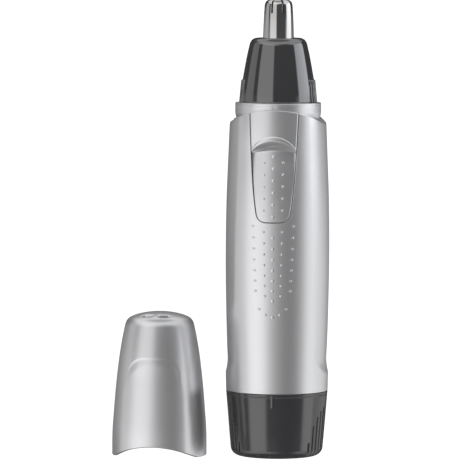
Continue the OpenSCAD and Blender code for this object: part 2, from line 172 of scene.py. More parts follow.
SHAFT = surface("shaft_steel", (0.6, 0.6, 0.61), metallic=1.0, rough=0.2, grain=5000.0,
                brushed=(1, 1, 12.0), scratches=0.1)
CAN = surface("motor_steel", (0.58, 0.59, 0.58), metallic=1.0, rough=0.33, mottle=0.06,
              grain=4000.0, scratches=0.15, wear=0.3)
SPRING = surface("spring_steel", (0.66, 0.66, 0.67), metallic=1.0, rough=0.22, grain=6000.0)
BRASS = surface("contact_brass", (0.74, 0.55, 0.25), metallic=1.0, rough=0.3, mottle=0.07,
                grain=4000.0, brushed=(1, 1, 0.1), wear=0.3, wear_colour=(0.9, 0.75, 0.4))
NICKEL = surface("contact_nickel", (0.66, 0.64, 0.6), metallic=1.0, rough=0.28, mottle=0.05,
                 grain=4000.0, wear=0.2)
BRONZE = surface("bush_bronze", (0.45, 0.3, 0.14), metallic=1.0, rough=0.45, mottle=0.12,
                 grain=3000.0, grain_bump=0.00001)
COPPER = surface("winding_copper", (0.5, 0.2, 0.09), metallic=0.9, rough=0.32, mottle=0.1,
                 grain=2500.0, grain_bump=0.00002, brushed=(1, 1, 0.1))
FERRITE = surface("magnet_ferrite", (0.035, 0.035, 0.04), rough=0.62, grain=3500.0,
                  grain_bump=0.00001, mottle=0.1)
RUBBER = surface("seal_rubber", (0.02, 0.02, 0.021), rough=0.6, grain=6000.0,
                 grain_bump=0.00001, mottle=0.15)
CHASSIS = surface("chassis_plastic", (0.62, 0.62, 0.6), rough=0.42, grain=3500.0,
                  grain_bump=0.000008, mottle=0.04, wear=0.3)
SLIDER = surface("slider_plastic", (0.72, 0.72, 0.7), rough=0.36, grain=3500.0,
                 grain_bump=0.000006, mottle=0.03)
ENDCAP = surface("end_cap_plastic", (0.66, 0.63, 0.52), rough=0.45, grain=3000.0,
                 grain_bump=0.000008, mottle=0.05)
RETAINER = surface("retainer_plastic", (0.045, 0.045, 0.048), rough=0.35, grain=4000.0,
                   grain_bump=0.000006, mottle=0.1)
WRAP = surface("cell_wrap", (0.05, 0.13, 0.15), metallic=0.35, rough=0.25, coat=0.4,
               grain=5000.0, mottle=0.04, scratches=0.1)
BY_SLOT = {"silver_paint": SILVER, "head_gloss": HEAD, "cap_dark": DARK, "tip_chrome": CHROME,
           "blade_steel": BLADE, "shaft_steel": SHAFT, "motor_steel": CAN,
           "spring_steel": SPRING, "contact_brass": BRASS, "contact_nickel": NICKEL,
           "bush_bronze": BRONZE, "winding_copper": COPPER, "magnet_ferrite": FERRITE,
           "seal_rubber": RUBBER, "chassis_plastic": CHASSIS, "slider_plastic": SLIDER,
           "end_cap_plastic": ENDCAP, "retainer_plastic": RETAINER, "cell_wrap": WRAP}
slot_of = {s["node"]: s["material_slot"] for s in frame["record"]["subparts"]}
for name, ob in nodes.items():
    m = BY_SLOT[slot_of[name]]
    ob.data.materials.clear()
    ob.data.materials.append(m)

# ------------------------------------------------------------------- meshes
# Lengths in this section are millimetres; angles are measured from the front
# (-Y) towards +X, so a point is (r sin a, -r cos a, z).

def curve(pts):
    """Smooth line through stations (z, r), each slope taken from the two
    neighbouring stations."""
    z = np.array([p[0] for p in pts], float)
    r = np.array([p[1] for p in pts], float)
    s = np.empty(len(z))
    s[0] = (r[1] - r[0]) / (z[1] - z[0])
    s[-1] = (r[-1] - r[-2]) / (z[-1] - z[-2])
    s[1:-1] = (r[2:] - r[:-2]) / (z[2:] - z[:-2])

    def f(q):
        q = np.asarray(q, float)
        i = np.clip(np.searchsorted(z, q) - 1, 0, len(z) - 2)
        h = z[i + 1] - z[i]
        t = (q - z[i]) / h
        out = np.clip(t, 0, 1)
        t2, t3 = out ** 2, out ** 3
        v = ((2 * t3 - 3 * t2 + 1) * r[i] + (t3 - 2 * t2 + out) * h * s[i]
             + (3 * t2 - 2 * t3) * r[i + 1] + (t3 - t2) * h * s[i + 1])
        v = v + np.where(t < 0, t * h * s[i], 0) + np.where(t > 1, (t - 1) * h * s[i + 1], 0)
        return v
    return f


def soft_min(a, b, k):
    h = np.clip(0.5 + 0.5 * (b - a) / k, 0, 1)
    return b * (1 - h) + a * h - k * h * (1 - h)


def soft_max(a, b, k):
    return -soft_min(-a, -b, k)


def steps(*marks):
    """Heights or angles: steps(a, b, step, c, step, ...)."""
    out = [float(marks[0])]
    for k in range(1, len(marks), 2):
        end, size = float(marks[k]), float(marks[k + 1])
        n = max(1, int(round(abs(end - out[-1]) / size)))
        out += list(np.linspace(out[-1], end, n + 1)[1:])
    return np.array(out)


def polar(r, a, z):
    """Ring of points, angles in degrees."""
    a = np.radians(a)
    r, z = np.broadcast_to(r, a.shape), np.broadcast_to(z, a.shape)
    return np.stack([r * np.sin(a), -r * np.cos(a), z], axis=1)


def tube(rings, closed=False, pole0=None, pole1=None):
    """Vertices and faces of a skin through rings of equal count."""
    n = len(rings[0])
    verts = np.concatenate(rings)
    m = len(rings)
    i = np.arange(n)
    k = (i + 1) % n
    quads = []
    for j in range(m if closed else m - 1):
        a, b = j * n, ((j + 1) % m) * n
        quads.append(np.stack([a + i, a + k, b + k, b + i], axis=1))
    faces = np.concatenate(quads).tolist()
    if pole0 is not None:
        faces += [[len(verts), int(b), int(a)] for a, b in zip(i, k)]
        verts = np.vstack([verts, pole0])
    if pole1 is not None:
        o = (m - 1) * n
        faces += [[len(verts), int(o + a), int(o + b)] for a, b in zip(i, k)]
        verts = np.vstack([verts, pole1])
    return verts, faces


def build(name, verts, faces, material=None, place=None):
    verts = np.asarray(verts, float) * MM
    if place is not None:
        verts = verts @ np.array(place.to_3x3()).T + np.array(place.translation)
    me = bpy.data.meshes.new(name)
    me.from_pydata(verts.tolist(), [], faces)
    bm = bmesh.new()
    bm.from_mesh(me)
    bmesh.ops.remove_doubles(bm, verts=bm.verts, dist=2e-7)
    bmesh.ops.dissolve_degenerate(bm, edges=bm.edges, dist=1e-7)
    bmesh.ops.recalc_face_normals(bm, faces=bm.faces)
    bm.to_mesh(me)
    bm.free()
    ob = bpy.data.objects.new(name, me)
    bpy.context.scene.collection.objects.link(ob)
    if material is not None:
        me.materials.append(material)
    return ob


def carve(ob, *cutters):
    """Subtract each cutter and throw it away."""
    for c in cutters:
        mod = ob.modifiers.new("cut", "BOOLEAN")
        mod.operation = "DIFFERENCE"
        mod.solver = "EXACT"
        mod.object = c
        dg = bpy.context.evaluated_depsgraph_get()
        me = bpy.data.meshes.new_from_object(ob.evaluated_get(dg))
        ob.modifiers.clear()
        old = ob.data
        ob.data = me
        bpy.data.meshes.remove(old)
        cm = c.data
        bpy.data.objects.remove(c)
        bpy.data.meshes.remove(cm)


def finish_piece(ob, node, body, slot, angle=38.0):
    """Smooth shading with real edges kept, then the piece stands in for its
    node."""
    me = ob.data
    me.materials.clear()
    me.materials.append(BY_SLOT[slot])
    me.polygons.foreach_set("material_index", np.zeros(len(me.polygons), dtype=np.int32))
    me.polygons.foreach_set("use_smooth", np.ones(len(me.polygons), dtype=bool))
    me.set_sharp_from_angle(angle=math.radians(angle))
    me.update()
    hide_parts(node)
    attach(ob, body)


def signed(a):
    """Angle brought to -180..180."""
    return (a + 180) % 360 - 180


def ring_angles(fine, fine_step, coarse_step):
    """Angles once round, closely spaced inside each (from, to) of fine."""
    edges = sorted(fine)
    out = []
    pos = edges[0][0]
    end = pos + 360
    for a, b in edges:
        if a > pos:
            out += list(steps(pos, a, coarse_step)[:-1])
        out += list(steps(a, b, fine_step)[:-1])
        pos = b
    out += list(steps(pos, end, coarse_step)[:-1])
    return signed(np.array(out))


# body form
SEAM = 19.4
front_line = curve([(19.4, 15.05), (24, 15.15), (30, 15.35), (36, 15.6), (42, 15.85),
                    (49, 16.07), (57, 16.2), (72, 16.18), (80, 16.02), (90, 15.6),
                    (95, 15.42), (98, 15.25), (101, 15.0), (103, 14.8)])
side_line = curve([(18.4, 16.8), (22, 16), (24.4, 15.3), (26, 14.88), (28.5, 14.6),
                   (33, 14.78), (42, 15.05), (57, 15.3), (75, 15.15), (90, 14.6),
                   (97.4, 14.3), (99.5, 14.15), (104, 13.7)])
FACET = 3.9
ARCH_Z, ARCH_R = 102.6, 31.0


def body_radius(a, z, crease=0.055):
    """Outer radius of the body at angle a and height z."""
    a = np.radians(a)
    s = side_line(z) + FACET
    facet = -FACET * np.abs(np.sin(a)) + np.sqrt(s ** 2 - (FACET * np.cos(a)) ** 2)
    return soft_min(front_line(z), facet, crease)


def arch(x, lift=0.0):
    return ARCH_Z + lift - ARCH_R + np.sqrt(np.maximum(ARCH_R ** 2 - np.asarray(x) ** 2, 0))


# raised dots: (angle, z) on the body
DOTS = []
for k in range(8):
    DOTS += [(s * (21.2 - 0.457 * k), 68.9 - 3.38 * k + 0.036 * k * k) for s in (-1, 1)]
DOTS[-2:] = [(-14.6, 44.6), (14.6, 44.6)]
for k in range(8):
    q = k + 0.5
    DOTS += [(s * (10.1 - 0.23 * k), 68.9 - 3.38 * q + 0.036 * q * q) for s in (-1, 1)]
DOTS[-2:] = [(-7.8, 42.9), (7.8, 42.9)]
DOTS += [(0.0, 68.9 - 3.38 * k + 0.036 * k * k) for k in range(1, 8)] + [(0.0, 42.2)]
DOT_R, DOT_H = 0.36, 0.14


def dot_height(x, z, spots, radius=DOT_R, height=DOT_H):
    out = np.zeros(np.broadcast(x, z).shape)
    for sx, sz in spots:
        d2 = ((x - sx) ** 2 + (z - sz) ** 2) / radius ** 2
        out = np.maximum(out, height * np.sqrt(np.clip(1 - d2, 0, 1)) ** 1.2)
    return out


def make_body():
    A = ring_angles([(-24, 24)], 0.42, 1.2)
    fine = np.abs(A) < 25
    # height where the outer skin ends, column by column
    lo, hi = np.full(len(A), 97.0), np.full(len(A), 103.5)
    sin_a = np.sin(np.radians(A))
    for _ in range(40):
        mid = (lo + hi) / 2
        r = body_radius(A, mid)
        ok = (mid < arch(r * sin_a)) & (r > 12.80)
        lo, hi = np.where(ok, mid, lo), np.where(ok, hi, mid)
    top = lo
    rows = steps(SEAM, 20.2, 0.1, 40.6, 0.6, 70.8, 0.12, 95.4, 0.45)
    rings = []
    for z in rows:
        r = body_radius(A, z)
        if 41 < z < 70:
            near = [(np.radians(p) * 15.9, q) for p, q in DOTS if abs(q - z) < 0.5]
            if near:
                h = dot_height(np.radians(A) * 15.9, np.full(len(A), z), near)
                r = r + np.where(fine, h, 0)
        d = z - SEAM
        if d < 0.14:
            r = r - (0.14 - math.sqrt(0.14 ** 2 - (0.14 - d) ** 2))
        rings.append(polar(r, A, z))
    # upper part: rows follow the rim
    # the edge is rounded more where it becomes the shoulder of the sides
    turn = np.clip((np.abs(sin_a) - 0.72) / 0.25, 0, 1)
    F = 0.2 + 0.75 * turn * turn * (3 - 2 * turn)
    for t in np.linspace(0.02, 1.0, 34):
        z = 95.4 + (top - 1.1 - 95.4) * t
        rings.append(polar(body_radius(A, z), A, z))
    for w in np.concatenate([np.linspace(1.08, 1.0, 2) - 0.04, 1 - np.sin(np.radians(np.arange(4, 91, 4.3))), [0.0]]):
        u = np.minimum(F * w, 1.06)
        z = top - u
        r = body_radius(A, z)
        r = r - np.where(u < F, F - np.sqrt(np.maximum(F * F - (F - u) ** 2, 0)), 0)
        rings.append(polar(np.maximum(r, 12.77), A, z))
    last = np.hypot(rings[-1][:, 0], rings[-1][:, 1])
    for t in (0.35, 0.7, 1.0):
        r = last + (12.72 - last) * t
        z = np.where(last > 12.80, arch(r * sin_a), top)
        rings.append(polar(r, A, z))
    rings.append(polar(12.72, A, 96.9))
    rings.append(polar(12.5, A, 96.9))
    lug = np.abs(np.abs(A) - 90) < 5
    for z, on in ((60, 0), (24.62, 0), (24.6, 1), (23.0, 1), (22.98, 0), (19.4, 0)):
        rings.append(polar(np.where(lug & bool(on), 11.45, 12.5), A, z))
    v, f = tube(rings, closed=True)
    return build("visual_body_shell", v, f)


# switch button outline seen from the front, and the pocket round it
def button_side(z):
    """Half width of the button at height z, bowed outwards all the way up."""
    z = np.asarray(z, float)
    return 6.0917 + 0.03216 * (z - 70.5) - 1.5329 * np.exp(-0.106 * (z - 70.5))


def button_outline(g, top=None, n_arc=10):
    """Closed outline (x, z), counter-clockwise, grown by g. Without a top it
    ends on the arch over the collar."""
    corner_z, lean = 72.33, math.radians(9.6)
    if top is None:
        x = 7.0
        for _ in range(30):
            x = float(button_side(arch(x, 0.15))) + g
        zt = float(arch(x, 0.15))
    else:
        zt = top
        x = float(button_side(top)) + g
    zs = steps(zt, corner_z, 0.7)[:-1]
    pts = [(-float(button_side(z)) - g, float(z)) for z in zs]
    cx = (2.75 + g) * math.cos(lean) - float(button_side(corner_z)) - g
    cz = corner_z + (2.75 + g) * math.sin(lean)
    for a in np.linspace(math.pi + lean, 1.5 * math.pi, n_arc + 1):
        pts.append((cx + (2.75 + g) * math.cos(a), cz + (2.75 + g) * math.sin(a)))
    low = cz - 2.75 - g
    pts += [(q, low - 0.04 * (1 - (q / cx) ** 2)) for q in np.linspace(cx, 0, 5)[1:]]
    pts += [(-p, q) for p, q in pts[::-1][1:]]
    for q in np.linspace(x, -x, 30)[1:-1]:
        pts.append((q, float(arch(q, 0.15)) if top is None else top + 0.3 * (1 - (q / x) ** 2)))
    return np.array(pts)


def inset(outline, d):
    """Outline moved inwards by d (counter-clockwise input)."""
    p = outline
    prev, nxt = np.roll(p, 1, axis=0), np.roll(p, -1, axis=0)
    e0, e1 = p - prev, nxt - p
    e0 /= np.linalg.norm(e0, axis=1)[:, None]
    e1 /= np.linalg.norm(e1, axis=1)[:, None]
    n0 = np.stack([-e0[:, 1], e0[:, 0]], axis=1)
    n1 = np.stack([-e1[:, 1], e1[:, 0]], axis=1)
    n = n0 + n1
    n /= np.maximum(np.sum(n * n0, axis=1), 0.3)[:, None] * 1.0
    return p + n * d


def fill(outline, gx, gz, gap=0.06):
    """Triangles over the inside of an outline, with inner points on a grid."""
    from mathutils.geometry import delaunay_2d_cdt
    X, Z = np.meshgrid(gx, gz)
    q = np.stack([X.ravel(), Z.ravel()], axis=1)
    # keep grid points inside and off the edge
    inside = np.zeros(len(q), bool)
    dist = np.full(len(q), 1e9)
    a, b = outline, np.roll(outline, -1, axis=0)
    for (x0, z0), (x1, z1) in zip(a, b):
        cross = (z0 > q[:, 1]) != (z1 > q[:, 1])
        with np.errstate(divide="ignore", invalid="ignore"):
            xi = (x1 - x0) * (q[:, 1] - z0) / (z1 - z0) + x0
        inside ^= cross & (q[:, 0] < xi)
        d = np.array([x1 - x0, z1 - z0])
        t = np.clip(((q - (x0, z0)) @ d) / (d @ d), 0, 1)
        dist = np.minimum(dist, np.hypot(q[:, 0] - x0 - t * d[0], q[:, 1] - z0 - t * d[1]))
    q = q[inside & (dist > gap)]
    n = len(outline)
    mid = outline.mean(axis=0)  # near the origin, where single precision is finest
    pts = [Vector(p - mid) for p in outline] + [Vector(p - mid) for p in q]
    edges = [(i, (i + 1) % n) for i in range(n)]
    vc, _, tris, orig, _, _ = delaunay_2d_cdt(pts, edges, [list(range(n))], 1, 1e-6, True)
    vc = np.array([tuple(v) for v in vc]) + mid
    index = {}
    for i, o in enumerate(orig):
        for k in o:
            index[k] = i
    border = [index[i] for i in range(n)]
    return vc, [list(t) for t in tris], border


def slab(name, outline_front, rings_between, outline_back, front_y, back_y, grid, back_grid):
    """Closed solid: a filled front sheet, rings down its side, a filled back
    sheet. rings_between holds arrays (n, 3)."""
    v0, t0, b0 = fill(outline_front, *grid)
    v1, t1, b1 = fill(outline_back, *back_grid)
    verts = [np.stack([v0[:, 0], front_y(v0[:, 0], v0[:, 1]), v0[:, 1]], axis=1)]
    faces = list(t0)
    n = len(outline_front)
    off = len(v0)
    chain = [b0]
    for ring in rings_between:
        verts.append(ring)
        chain.append(list(range(off, off + n)))
        off += n
    verts.append(np.stack([v1[:, 0], back_y(v1[:, 0], v1[:, 1]), v1[:, 1]], axis=1))
    chain.append([off + i for i in b1])
    faces += [[off + i for i in t[::-1]] for t in t1]
    for c0, c1 in zip(chain[:-1], chain[1:]):
        for i in range(n):
            k = (i + 1) % n
            faces.append([c0[i], c0[k], c1[k], c1[i]])
    return build(name, np.concatenate(verts), faces)


def on_cylinder(r, x):
    return -np.sqrt(np.maximum(np.asarray(r) ** 2 - np.asarray(x) ** 2, 0.01))


def pocket_cutter():
    base = button_outline(0.2, 106.0)

    def out_y(x, z):
        return on_cylinder(front_line(np.minimum(z, 103)), x)

    def floor_y(x, z):
        return on_cylinder(np.where(z < 96.9, 13.15, 12.2), x)
    rings = []
    wide = inset(base, -0.16)
    front = wide.copy()
    for grow, d in ((0.16, -0.4), (0.16, -0.02), (0.115, 0.02), (0.07, 0.055), (0.03, 0.1),
                    (0.008, 0.14), (0.0, 0.2)):
        p = inset(base, -grow) if grow else base
        rings.append(np.stack([p[:, 0], out_y(p[:, 0], p[:, 1]) + d, p[:, 1]], axis=1))
    gz = np.concatenate([steps(69, 96.88, 0.6), [96.92], steps(97.3, 106.5, 0.6)])
    gx = np.linspace(-8, 8, 41)
    return slab("pocket", front, rings, base, lambda x, z: out_y(x, z) - 1.2, floor_y,
                (gx, gz), (gx, gz))


def box_mesh(name, x0, x1, y0, y1, z0, z1):
    v = [(x, y, z) for x in (x0, x1) for y in (y0, y1) for z in (z0, z1)]
    f = [(0, 1, 3, 2), (4, 6, 7, 5), (0, 4, 5, 1), (2, 3, 7, 6), (0, 2, 6, 4), (1, 5, 7, 3)]
    return build(name, v, f)


body = make_body()
carve(body, pocket_cutter(), box_mesh("stem_slot", -1.8, 1.8, -16, -11, 79.6, 90.6))
finish_piece(body, "body_shell", "root", "silver_paint")

# switch button
panel_line = curve([(68, 16.3), (72, 16.26), (78, 15.92), (84, 15.15), (90, 14.15),
                    (95, 13.85)])
BUTTON_DOTS = [(0.0, 89.15 - 3.49 * k) for k in range(6)]
BUTTON_DOTS += [(s * 2.87, 87.4 - 3.47 * k) for k in range(5) for s in (-1, 1)]


def button_radius(x, z):
    """Outer radius of the button: a rounded lip, a steep scoop under it and
    the thumb panel, each between two arcs."""
    x, z = np.asarray(x, float), np.asarray(z, float)
    upper = front_line(np.minimum(z, 103)) + 0.3
    lower = panel_line(np.minimum(z, 95)) + 0.12
    xs = np.minimum(np.abs(x), 7.0)
    z_u = 88.0 + np.sqrt(7.3 ** 2 - np.minimum(xs, 7.2) ** 2)
    z_l = 80.9 + np.sqrt(11.5 ** 2 - xs ** 2)
    z_f = 56.4 + np.sqrt(34.4 ** 2 - xs ** 2)
    z_u = np.maximum(z_u, z_l + 0.6)
    s = np.clip((z_u - z) / (z_u - z_l), 0, 1)
    size = np.clip((z_u - z_l) / 2.9, 0.25, 1)
    # a bead along the upper arc, then an underside that turns away
    up = np.clip(s / 0.24, 0, 1)
    bead = 0.2 * up * up * (3 - 2 * up)
    fall = 0.95 * np.clip((s - 0.46) / 0.54, 0, 1) ** 1.25
    q = np.clip((z_l - z) / (z_l - z_f), 0, 1)
    lip = upper + (bead - fall) * size
    foot = panel_line(z_f) + 0.12
    brow = front_line(z_l) + 0.3 - 0.75 * size
    steep = brow + (foot - brow) * (q * q * (3 - 2 * q) * 0.4 + q * 0.6)
    r = np.where(z >= z_l, lip, np.where(z >= z_f, steep, lower))
    return r + dot_height(x, z, BUTTON_DOTS)


def make_button():
    out = button_outline(0.0)
    F = 0.22

    def front_y(x, z):
        return on_cylinder(button_radius(x, z), x)

    def back_y(x, z):
        return on_cylinder(np.where(z < 97.1, 13.25, 12.84), x)
    rings = []
    for a in (15, 30, 45, 60, 75, 90):
        s = math.radians(a)
        p = inset(out, F * (1 - math.sin(s))) if a < 90 else out
        rings.append(np.stack([p[:, 0], front_y(p[:, 0], p[:, 1]) + F * (1 - math.cos(s)),
                               p[:, 1]], axis=1))
    gx = np.arange(-7.32, 7.33, 0.12)
    gz = np.arange(69.9, 103, 0.12)
    bz = np.concatenate([steps(69, 97.08, 1.0), [97.12], steps(97.5, 103.5, 1.0)])
    return slab("visual_switch_button", inset(out, F), rings, out, front_y, back_y,
                (gx, gz), (np.linspace(-8, 8, 25), bz))


button = make_button()
finish_piece(button, "switch_button", "switch", "silver_paint", 50)


# neck collar
def make_collar():
    A = ring_angles([(-96, -84), (-4, 4), (84, 96)], 0.2, 1.5)
    arc = np.where(np.abs(A) < 6, np.abs(np.radians(A) * 12.7), 9)
    mark = np.clip((0.38 - arc) / 0.05, 0, 1)
    ditch = np.clip(1 - np.abs(arc - 0.5) / 0.11, 0, 1)
    lug = np.where(np.abs(np.abs(A) - 90) < 5, 1.0, 0.0)
    outer = [(12.4, 92.5), (12.4, 99.6), (12.4, 99.9), (12.43, 100.3), (12.52, 100.75),
             (12.62, 101.1), (12.67, 101.45)]
    rings = [polar(r, A, z) for r, z in outer]
    for z in steps(101.7, 104.2, 0.1):
        up = np.clip((z - 102.45) / 0.1, 0, 1) * np.clip((103.72 - z) / 0.1, 0, 1)
        r = 12.68
        # fine rim line just under the top edge
        r = r - 0.07 * math.exp(-((z - 103.95) / 0.07) ** 2)
        rings.append(polar(r + (0.14 * mark - 0.09 * ditch) * up, A, z))
    for k in range(1, 9):
        s = math.radians(90 * k / 8)
        rings.append(polar(12.68 - 0.32 * (1 - math.cos(s)), A, 104.28 + 0.32 * math.sin(s)))
    rings += [polar(11.15, A, 104.6), polar(11.04, A, 104.56), polar(11.0, A, 104.45)]
    for z, on in ((101.62, 0), (101.6, 1), (100.4, 1), (100.38, 0), (98.5, 0)):
        rings.append(polar(11 - 0.8 * lug * on, A, z))
    for r, z in ((5.3, 98.5), (5.22, 98.42), (5.22, 96.7), (3.4, 96.7), (3.4, 96.0), (11, 96),
                 (11, 92.6), (11.1, 92.5)):
        rings.append(polar(r, A, z))
    v, f = tube(rings, closed=True)
    return build("visual_neck_collar", v, f)


finish_piece(make_collar(), "neck_collar", "root", "silver_paint", 35)

# bayonet slots of the battery cap and the head
def slot_run(A, low=-6, high=46):
    """Locking runs: from low to high, counted anticlockwise from +X and -X."""
    q = signed(A - 90)  # angle from +X, anticlockwise seen from above
    return ((q > low) & (q < high)) | ((signed(q - 180) > low) & (signed(q - 180) < high))


def slot_in(A, centre=40, half=6.5):
    q = signed(A - 90)
    return (np.abs(signed(q - centre)) < half) | (np.abs(signed(q - 180 - centre)) < half)


# battery cap
battery_line = curve([(2.7, 13.65), (7, 14.04), (13, 14.52), (19.3, 15.04)])
GROOVES = [s * 90 + (k - 6) * 7 for s in (-1, 1) for k in range(13)]


def make_battery_cap():
    A = ring_angles([(-138, -42), (-3, 3), (42, 138)], 0.3, 1.3)
    near = np.array([[signed(A - g) for g in GROOVES]])[0]
    which = np.argmin(np.abs(near), axis=0)
    off = np.take_along_axis(near, which[None], 0)[0]
    top = np.array([15.6 * math.sqrt(1 - (((k % 13) - 6) * 7 / 44) ** 2) for k in range(26)])[which]
    x = np.radians(off) * 13.9

    def groove(z):
        w = 0.43
        over = np.maximum(0, z - (top - w))
        under = max(0.0, 0.9 - z)
        d2 = (x ** 2 + over ** 2 + under ** 2) / w ** 2
        return 0.52 * np.sqrt(np.clip(1 - d2, 0, 1)) ** 0.8
    rings = [polar(r, A, 0.0) for r in (6.0, 10.4)]
    for a in range(0, 91, 5):
        s = math.radians(a)
        z = 2.7 - 2.7 * math.cos(s)
        r = 10.9 + 2.75 * math.sin(s)
        rings.append(polar(r - groove(z) * math.sin(s) ** 0.5 if a else r, A, z))
    mark_a = np.clip(1 - (np.radians(A) * 14.9 / 0.5) ** 2, 0, 1)
    mark_a = np.where(np.abs(A) < 6, mark_a, 0)
    for z in steps(2.9, 15.2, 0.2, 15.5, 0.05, 18.2, 0.2, 19.14, 0.047):
        up = np.clip((z - 15.28) / 0.1, 0, 1) * np.clip((19.02 - z) / 0.1, 0, 1)
        r = battery_line(z) - groove(z) + 0.17 * mark_a * up
        r = r - 0.09 * math.exp(-((z - 18.45) / 0.09) ** 2)
        rings.append(polar(r, A, z))
    for k in range(1, 7):
        s = math.radians(15 * k)
        rings.append(polar(battery_line(19.14) - 0.16 * (1 - math.cos(s)), A,
                           19.14 + 0.16 * math.sin(s)))
    rings += [polar(12.35, A, 19.3), polar(12.35, A, 20.2), polar(11.4, A, 20.2),
              polar(11.4, A, 21.3), polar(12.35, A, 21.3)]
    # bayonet slots: entry from above, then the locking run
    lug_run = slot_run(A)
    lug_in = slot_in(A)
    for z, q in ((22.78, 0), (22.8, 1), (24.8, 1), (24.82, 2), (25.7, 2), (26.0, 3)):
        r = np.full(len(A), 12.35 if q < 3 else 12.05)
        if q == 1:
            r = np.where(lug_run | lug_in, 11.35, r)
        if q >= 2:
            r = np.where(lug_in, 11.35, r)
        rings.append(polar(r, A, z))
    for r, z in ((10.9, 26), (10.9, 15), (12.3, 12), (11.8, 4.6), (11, 2.6), (5.0, 2.6)):
        rings.append(polar(r, A, z))
    v, f = tube(rings, pole0=[[0, 0, 0]], pole1=[[0, 0, 2.6]])
    return build("visual_battery_cap", v, f)


finish_piece(make_battery_cap(), "battery_cap", "battery_door", "cap_dark", 35)


# head housing
head_line = curve([(104.7, 11.24), (108, 11), (111, 10.56), (114, 10.06), (118, 9.32),
                   (121.5, 8.55)])


def make_head():
    A = ring_angles([(-122, -58), (58, 122)], 0.4, 1.2)
    ribs = [s * 90 + (k - 3) * 8 for s in (-1, 1) for k in range(7)]
    near = np.array([signed(A - g) for g in ribs])
    off = np.take_along_axis(near, np.argmin(np.abs(near), axis=0)[None], 0)[0]

    def rib(z):
        r0 = float(head_line(z))
        stand = 11.05 - 0.091 * (z - 104.72)       # axis of the rib leans inwards
        x = np.radians(off) * r0
        over = max(0.0, z - 110.75) * 0.8
        q = 0.5 ** 2 - x ** 2 - over ** 2
        return np.where(q > 0, stand + np.sqrt(np.maximum(q, 0)), 0)
    rings = [polar(10.85, A, 99.2)]
    run, entry = slot_run(A, -46, 6), slot_in(A, -40, 6.5)
    rings = [polar(np.where(entry, 10.1, 10.85), A, 99.2),
             polar(np.where(entry, 10.1, 10.85), A, 100.18),
             polar(np.where(run | entry, 10.1, 10.85), A, 100.2),
             polar(np.where(run | entry, 10.1, 10.85), A, 101.8),
             polar(10.85, A, 101.82), polar(10.85, A, 103.15), polar(10.0, A, 103.15),
             polar(10.0, A, 104.25), polar(10.85, A, 104.25), polar(10.85, A, 104.7),
             polar(11.1, A, 104.7)]
    for z in steps(104.78, 111.5, 0.09, 121.2, 0.3):
        r = head_line(z)
        if z < 104.95:
            r = r - 0.08 * ((104.95 - z) / 0.17) ** 2
        if z < 111.35:
            r = soft_max(r, rib(z), 0.05)
        rings.append(polar(r, A, z))
    shoulder = curve([(121.2, 8.62), (122.0, 8.4), (122.5, 8.16), (122.9, 7.86), (123.2, 7.52),
                      (123.42, 7.1), (123.55, 6.7), (123.6, 6.3)])
    for z in (121.5, 121.8, 122.1, 122.35, 122.55, 122.75, 122.9, 123.05, 123.18, 123.3,
              123.4, 123.48, 123.55, 123.6):
        rings.append(polar(shoulder(z), A, z))
    for r, z in ((4.9, 123.6), (4.74, 123.56), (4.65, 123.45), (4.65, 121.3), (7.3, 121.3),
                 (7.45, 120), (8.2, 116), (9.1, 111), (9.6, 106), (9.6, 99.2)):
        rings.append(polar(r, A, z))
    v, f = tube(rings, closed=True)
    return build("visual_head_housing", v, f)


finish_piece(make_head(), "head_housing", "head", "head_gloss", 35)

# steel tip
tip_line = curve([(120.9, 4.58), (123.6, 4.55), (129, 4.37), (132.4, 4.17)])


def make_foil():
    A = np.linspace(0, 360, 193)[:-1]
    out = [(6.0, 120.9), (6.0, 121.27), (4.66, 121.27), (4.6, 121.33)]
    out += [(float(tip_line(z)), z) for z in steps(121.5, 132.4, 0.5)]
    crown = [(4.17, 132.4), (4.13, 132.85), (4.08, 133.3), (4.0, 133.66), (3.87, 133.98),
             (3.68, 134.27), (3.44, 134.5), (3.12, 134.7), (2.7, 134.86), (2.2, 134.95),
             (1.5, 134.99), (0.8, 135.0)]
    inner = [(0.8, 134.6), (2.0, 134.58), (2.6, 134.45), (3.2, 134.15), (3.5, 133.75),
             (3.68, 133.2), (3.77, 132.4)]
    inner += [(float(tip_line(z)) - 0.4, z) for z in steps(132.0, 121.2, 0.9)]
    inner += [(4.18, 120.9)]
    rings = [polar(r, A, z) for r, z in out + crown[1:]]
    v1, f1 = tube(rings, pole1=[[0, 0, 135.0]])
    ri = [polar(r, A, z) for r, z in inner]
    n0 = len(v1)
    v2, f2 = tube(ri, pole0=[[0, 0, 134.6]])
    n = len(A)
    last = (len(ri) - 1) * n
    faces = f1 + [[i + n0 for i in q] for q in f2]
    faces += [[i, (i + 1) % n, n0 + last + (i + 1) % n, n0 + last + i] for i in range(n)]
    return build("visual_head_foil", np.vstack([v1, v2]), faces)


foil = make_foil()
slots = []
for k in range(8):
    c = box_mesh("slot", 1.4, 6.0, -0.3, 0.3, 130.9, 136.0)
    c.data.transform(Matrix.Rotation(math.radians((k + 0.5) * 45), 4, "Z"))
    slots.append(c)
carve(foil, *slots)
finish_piece(foil, "head_foil", "head", "tip_chrome", 30)

# protective cap, in its own frame with the rim at z = 0
cap_side = curve([(0, 14), (7, 13.93), (14, 13.45), (21, 12.87), (29, 11.95), (35, 10.98),
                  (38.3, 10.3)])
tongue = curve([(0, 13.5), (7, 13.45), (14, 12.98), (21, 12.43), (25, 12.2), (29, 12.1),
                (36, 12.1)])
DOME = [(10.3, 38.3), (10.2, 38.75), (10.05, 39.2), (9.87, 39.62), (9.65, 40.0),
        (9.38, 40.35), (9.05, 40.65), (8.65, 40.9), (8.2, 41.13), (7.6, 41.38), (6.9, 41.63),
        (6.0, 41.88), (5.0, 42.11), (4.0, 42.29), (3.0, 42.43), (2.0, 42.53), (1.0, 42.58)]


